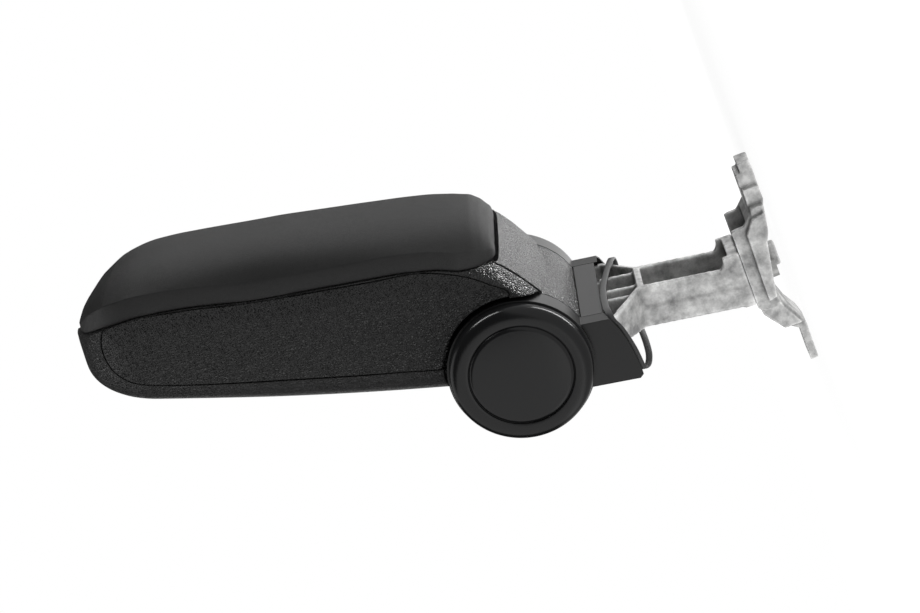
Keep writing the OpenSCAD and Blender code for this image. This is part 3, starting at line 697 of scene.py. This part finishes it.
def pad_block(name, inset, x0, low, high=0.0):
    end = 224.3 - inset
    xs = [x0 + (20 - x0) * (k / 16) ** 1.5 for k in range(16)]
    xs += [20 + (184 - 20) * k / 50 for k in range(50)]
    xs += [184 + (end - 184) * math.sin(math.radians(k * 90 / 30.8)) for k in range(31)]
    return loft(name, [pad_ring(x, inset, low, high, end) for x in xs])


def swell(pad, cap):
    start = [v.co.copy() for v in pad.data.vertices]
    in_arm = [STOWED.inverted() @ p for p in start]
    held = pad.vertex_groups.new(name="held")
    for i, p in enumerate(in_arm):
        above = p.z - split_z(max(p.x, 1))
        held.add([i], 1.0 if above < 5 else max(0.0, 1 - (above - 5) / 6), "REPLACE")
    cloth = pad.modifiers.new("swell", "CLOTH")
    cloth.settings.quality = 5
    cloth.settings.mass = 0.3
    cloth.settings.tension_stiffness = 40
    cloth.settings.compression_stiffness = 40
    cloth.settings.shear_stiffness = 20
    cloth.settings.bending_stiffness = 6
    cloth.settings.use_pressure = True
    cloth.settings.uniform_pressure_force = 4
    cloth.settings.vertex_group_mass = "held"
    cloth.settings.effector_weights.gravity = 0
    cloth.collision_settings.use_collision = False
    cloth.point_cache.frame_start = 1
    cloth.point_cache.frame_end = 20
    for number in range(1, 21):
        bpy.context.scene.frame_set(number)
    apply_all(pad)
    for v, p in zip(pad.data.vertices, start):
        move = v.co - p
        if move.length > cap:
            v.co = p + move * (cap / move.length)
    bpy.context.scene.frame_set(1)


pad = pad_block("lid_cushion", 0.5, 0.9, 0.4)
swell(pad, SWELL_LIMIT)
pocket = pad_block("pocket", 2.7, 3.6, -2, 5.2)
cut(pad, pocket)
room = [(3.6, 60.5), (4.2, 62.9), (7, 64.6), (17, 63.1), (17, 40), (3.6, 40)]
cut(pad, prism("hinge_room", room, -24.4, 24.4))
ear_way = [(0, 50), (17, 50), (17, 63.4), (7.4, 65.2), (4, 64.6), (1.9, 62), (1.9, 60), (0, 58.2)]
for y in (13.9, -18.9):
    cut(pad, prism("ear_way", ear_way, y, y + 5))
shade(pad, 40)
pad_mat, tree, shader = material("pad_vinyl_black", (0.013, 0.013, 0.0135), 0.48, specular=0.45)
grained(tree, shader, 1500.0, 0.2, 0.001, (0.008, 0.010), (0.6, 0.48))
dress(pad, pad_mat)
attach(pad, "lid")
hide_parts("lid_pad")


# Lid base and striker
# A black plastic plate that carries the pad, with a bent steel striker for the button's hook.
lid_finishes = {
    "lid_base": ("base_black", (0.02, 0.02, 0.021), 0.5, 0.0),
    "lid_striker": ("catch_steel", (0.6, 0.6, 0.6), 0.3, 1.0),
}
finish_small(lid_finishes)


# Release button and its spring
# Black finger pad set in the front wall, pushed out by a small coil spring: its face follows the round
# nose of the shell.
button = bpy.data.objects.new("finger_button", nodes["latch_button"].data.copy())
bpy.context.scene.collection.objects.link(button)
weld = button.modifiers.new("weld", "WELD")
weld.merge_threshold = WELD_WITHIN
apply_all(button)
cut(button, tub("nose_skin", -0.35, 150, 6), "INTERSECT")
shade(button, 25)
button_mat, tree, shader = material("button_black", (0.012, 0.012, 0.0125), 0.38)
soft_edge(tree, shader, 0.0007, 1500.0, 0.1)
dress(button, button_mat)
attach(button, "button")
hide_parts("latch_button")
finish_small({"latch_spring": ("spring_steel", (0.6, 0.6, 0.6), 0.25, 1.0)})


# Floor, light and camera
# A plain pale floor that keeps the object's shadow, a white backdrop, soft boxes, and the photo's view.
# Three narrow low boxes light only the shell or the caps, for the bright edges that the photo shows.
bpy.ops.mesh.primitive_plane_add(size=8, location=(0, 0, 0))
floor = bpy.context.object
floor.name = "floor"
floor_mat, tree, shader = material("floor_white", (0.9, 0.9, 0.9), 0.9, specular=0.0)
glow = add(tree, "ShaderNodeEmission")
glow.inputs["Strength"].default_value = 1.2
place = add(tree, "ShaderNodeTexCoord")
reach = add(tree, "ShaderNodeVectorMath", operation="LENGTH")
tree.links.new(place.outputs["Object"], reach.inputs[0])
share = add(tree, "ShaderNodeMapRange")
share.inputs["From Min"].default_value = 0.15
share.inputs["From Max"].default_value = 0.55
share.inputs["To Min"].default_value = 0.75
share.inputs["To Max"].default_value = 1.0
tree.links.new(reach.outputs["Value"], share.inputs["Value"])
path = add(tree, "ShaderNodeLightPath")
seen = add(tree, "ShaderNodeMapRange")
seen.inputs["To Min"].default_value = 0.65
tree.links.new(path.outputs["Is Camera Ray"], seen.inputs["Value"])
tree.links.new(share.outputs["Result"], seen.inputs["To Max"])
mix = add(tree, "ShaderNodeMixShader")
tree.links.new(seen.outputs["Result"], mix.inputs["Fac"])
tree.links.new(shader.outputs["BSDF"], mix.inputs[1])
tree.links.new(glow.outputs["Emission"], mix.inputs[2])
tree.links.new(mix.outputs["Shader"], tree.nodes["Material Output"].inputs["Surface"])
dress(floor, floor_mat)

world = bpy.data.worlds.new("studio")
bpy.context.scene.world = world
world.use_nodes = True
tree = world.node_tree
back = tree.nodes["Background"]
path = add(tree, "ShaderNodeLightPath")
level = add(tree, "ShaderNodeMapRange")
level.inputs["To Min"].default_value = 0.07
level.inputs["To Max"].default_value = 1.0
tree.links.new(path.outputs["Is Camera Ray"], level.inputs["Value"])
back.inputs["Color"].default_value = (1, 1, 1, 1)
tree.links.new(level.outputs["Result"], back.inputs["Strength"])


def softbox(name, place, aim, along, width, height, watts):
    lamp = bpy.data.lights.new(name, "AREA")
    lamp.shape = "RECTANGLE"
    lamp.size = width
    lamp.size_y = height
    lamp.energy = watts
    obj = bpy.data.objects.new(name, lamp)
    bpy.context.scene.collection.objects.link(obj)
    back = (Vector(place) - Vector(aim)).normalized()
    across = (Vector(along) - back * back.dot(Vector(along))).normalized()
    turn = Matrix((across, back.cross(across), back)).transposed()
    obj.matrix_world = Matrix.Translation(place) @ turn.to_4x4()
    return obj


softbox("back", (-0.85, -1.15, 0.35), (0, 0, 0.2), (1, 0, 0), 0.9, 0.9, 3.3)
softbox("top", (0.1, 0.2, 1.6), (0, 0, 0.1), (1, 0, 0), 1.2, 1.2, 6)
hidden_boxes = [
    softbox("table", (0.42, 1.1, 0.5), (-1, 1.1, 0.5), (0, 1, 0), 1.7, 1.0, 7),
    softbox("backdrop", (0.08, -0.45, 0.005), (0.08, -0.45, 1), (1, 0, 0), 0.5, 0.4, 0.8),
    softbox("fill", (0.75, -1.2, 0.5), (0, 0, 0.2), (1, 0.6, 0), 1.0, 1.0, 2.5),
    softbox("neck_strip", (-0.09, -0.05, 0.008), (-0.09, -0.05, 1), (1, 0, 0), 0.12, 0.022, 1.3),
    softbox("rim_low", (-0.074, -0.012, 0.008), (-0.074, -0.012, 1), (1, 0.4, 0), 0.187, 0.03, 0.5),
    softbox("rim_high", (-0.66, 0.16, 0.40), (0.04, 0.05, 0.144), (0.16, 0.135, 0.6), 0.42, 0.12, 4),
]
for lamp in hidden_boxes:
    lamp.visible_camera = False
caps = ["disc_hub_cap_left", "disc_hub_cap_right"]
for lamp, names in zip(hidden_boxes[3:], (["armrest_shell"], caps, caps)):
    group = bpy.data.collections.new("lit_by_" + lamp.name)
    for name in names:
        group.objects.link(bpy.data.objects[name])
    lamp.light_linking.receiver_collection = group

camera_data = bpy.data.cameras.new("camera")
camera_data.sensor_width = 36
camera_data.lens = 70.33
camera = bpy.data.objects.new("camera", camera_data)
bpy.context.scene.collection.objects.link(camera)
camera.matrix_world = Matrix((
    (0.370649, -0.860515, -0.349476, -0.320486),
    (-0.002255, -0.377109, 0.926166, 0.883283),
    (-0.92877, -0.342494, -0.141716, 0.032614),
    (0, 0, 0, 1),
))
bpy.context.scene.camera = camera
bpy.context.scene.view_settings.view_transform = "Standard"
